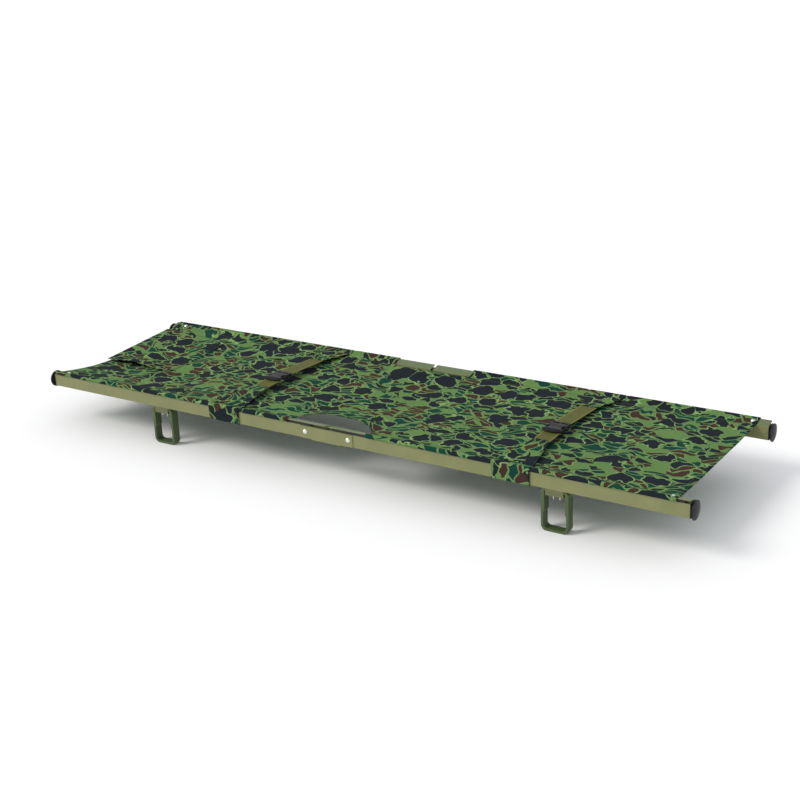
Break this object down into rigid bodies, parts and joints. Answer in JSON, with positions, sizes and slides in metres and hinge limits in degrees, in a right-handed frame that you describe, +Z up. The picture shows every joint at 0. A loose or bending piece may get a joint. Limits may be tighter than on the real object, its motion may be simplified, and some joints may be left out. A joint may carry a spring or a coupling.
{
  "type": "folding stretcher",
  "caption": "Camouflage canvas field stretcher on aluminium rails that narrows on hinged spreader bars and folds in half; loop legs, patient straps and a pillow pocket.",
  "frame": {"origin": "on the ground, in the middle of the stretcher's box", "axes": "+X along the length to the foot end, +Y across to the back rail, +Z up"},
  "size_m": [2.21, 0.622, 0.186],
  "materials": {
    "camo_canvas": "woven canvas, camouflage print",
    "olive_webbing": "woven webbing",
    "rail_paint": "satin olive paint over the metal",
    "leg_paint": "satin dark olive paint over the metal",
    "arm_paint": "satin olive paint over the metal",
    "bright_steel": "bright",
    "buckle_plastic": "moulded",
    "cap_plastic": "moulded",
    "keder_cord": "extruded"
  },
  "bodies": {
    "head_front": {"head_front_rail": "rail_paint", "head_front_leg": "leg_paint", "head_front_leg_bracket": "arm_paint", "head_front_fasteners": "bright_steel", "head_front_end_cap": "cap_plastic", "head_front_keder_rod": "keder_cord", "head_front_canvas_hem": "camo_canvas", "head_front_spreader_bracket": "arm_paint", "head_front_arm_pin": "bright_steel", "head_front_strap_sleeve": "camo_canvas", "canvas_head": "camo_canvas", "pillow_pocket": "camo_canvas", "head_strap_webbing": "olive_webbing"},
    "head_back": {"head_back_rail": "rail_paint", "head_back_leg": "leg_paint", "head_back_leg_bracket": "arm_paint", "head_back_fasteners": "bright_steel", "head_back_end_cap": "cap_plastic", "head_back_keder_rod": "keder_cord", "head_back_canvas_hem": "camo_canvas", "head_back_spreader_bracket": "arm_paint", "head_back_arm_pin": "bright_steel", "head_back_strap_sleeve": "camo_canvas"},
    "foot_front": {"foot_front_rail": "rail_paint", "foot_front_leg": "leg_paint", "foot_front_leg_bracket": "arm_paint", "foot_front_fasteners": "bright_steel", "foot_front_end_cap": "cap_plastic", "foot_front_keder_rod": "keder_cord", "foot_front_canvas_hem": "camo_canvas", "foot_front_spreader_bracket": "arm_paint", "foot_front_arm_pin": "bright_steel", "foot_front_strap_sleeve": "camo_canvas", "canvas_foot": "camo_canvas", "foot_strap_webbing": "olive_webbing"},
    "foot_back": {"foot_back_rail": "rail_paint", "foot_back_leg": "leg_paint", "foot_back_leg_bracket": "arm_paint", "foot_back_fasteners": "bright_steel", "foot_back_end_cap": "cap_plastic", "foot_back_keder_rod": "keder_cord", "foot_back_canvas_hem": "camo_canvas", "foot_back_spreader_bracket": "arm_paint", "foot_back_arm_pin": "bright_steel", "foot_back_strap_sleeve": "camo_canvas"},
    "front_link": {"front_hinge_link": "rail_paint", "front_link_rivets": "bright_steel", "canvas_middle": "camo_canvas"},
    "back_link": {"back_hinge_link": "rail_paint", "back_link_rivets": "bright_steel"},
    "head_arm_a": {"head_front_spreader_arm": "arm_paint", "head_knuckle_pin": "bright_steel"},
    "head_arm_b": {"head_back_spreader_arm": "arm_paint"},
    "head_buckle": {"head_buckle_socket": "buckle_plastic", "head_buckle_tongue": "buckle_plastic"},
    "foot_arm_a": {"foot_front_spreader_arm": "arm_paint", "foot_knuckle_pin": "bright_steel"},
    "foot_arm_b": {"foot_back_spreader_arm": "arm_paint"},
    "foot_buckle": {"foot_buckle_socket": "buckle_plastic", "foot_buckle_tongue": "buckle_plastic"}
  },
  "joints": [
    {"name": "mid_fold", "type": "hinge", "parent": "head_front", "child": "front_link", "pos_m": [-0.075, -0.285, 0.142], "axis": [0, 1, 0], "range_deg": [0, 88.9]},
    {"name": "front_link_to_foot", "type": "hinge", "parent": "front_link", "child": "foot_front", "pos_m": [0.075, -0.285, 0.142], "axis": [0, 1, 0], "range_deg": [0, 88.9]},
    {"name": "side_fold", "type": "hinge", "parent": "head_front", "child": "head_arm_a", "pos_m": [-0.515, -0.256, 0.135], "axis": [0, 0, -1], "range_deg": [0, 87], "deforming": ["canvas_head", "canvas_middle", "canvas_foot", "pillow_pocket", "head_strap_webbing", "foot_strap_webbing"]},
    {"name": "head_knuckle", "type": "hinge", "parent": "head_arm_a", "child": "head_arm_b", "pos_m": [-0.515, 0, 0.135], "axis": [0, 0, -1], "range_deg": [-174, 0]},
    {"name": "head_back_pivot", "type": "hinge", "parent": "head_arm_b", "child": "head_back", "pos_m": [-0.515, 0.256, 0.135], "axis": [0, 0, -1], "range_deg": [0, 87]},
    {"name": "head_to_back_link", "type": "hinge", "parent": "head_back", "child": "back_link", "pos_m": [-0.075, 0.285, 0.142], "axis": [0, 1, 0], "range_deg": [0, 88.9]},
    {"name": "back_link_to_foot", "type": "hinge", "parent": "back_link", "child": "foot_back", "pos_m": [0.075, 0.285, 0.142], "axis": [0, 1, 0], "range_deg": [0, 88.9]},
    {"name": "foot_front_pivot", "type": "hinge", "parent": "foot_front", "child": "foot_arm_a", "pos_m": [0.515, -0.256, 0.135], "axis": [0, 0, 1], "range_deg": [0, 87]},
    {"name": "foot_knuckle", "type": "hinge", "parent": "foot_arm_a", "child": "foot_arm_b", "pos_m": [0.515, 0, 0.135], "axis": [0, 0, 1], "range_deg": [-174, 0]},
    {"name": "head_buckle_travel", "type": "slide", "parent": "head_front", "child": "head_buckle", "axis": [0, -1, 0], "range_m": [0, 0.2139]},
    {"name": "foot_buckle_travel", "type": "slide", "parent": "foot_front", "child": "foot_buckle", "axis": [0, -1, 0], "range_m": [0, 0.2139]}
  ],
  "couplings": [
    {"joint": "front_link_to_foot", "follows": "mid_fold", "ratio": 1},
    {"joint": "head_knuckle", "follows": "side_fold", "ratio": -2},
    {"joint": "head_back_pivot", "follows": "side_fold", "ratio": 1},
    {"joint": "head_to_back_link", "follows": "mid_fold", "ratio": 1},
    {"joint": "back_link_to_foot", "follows": "mid_fold", "ratio": 1},
    {"joint": "foot_front_pivot", "follows": "side_fold", "ratio": 1},
    {"joint": "foot_knuckle", "follows": "side_fold", "ratio": -2},
    {"joint": "head_buckle_travel", "follows": "side_fold", "m_per_rad": 0.14054},
    {"joint": "foot_buckle_travel", "follows": "side_fold", "m_per_rad": 0.14054}
  ]
}
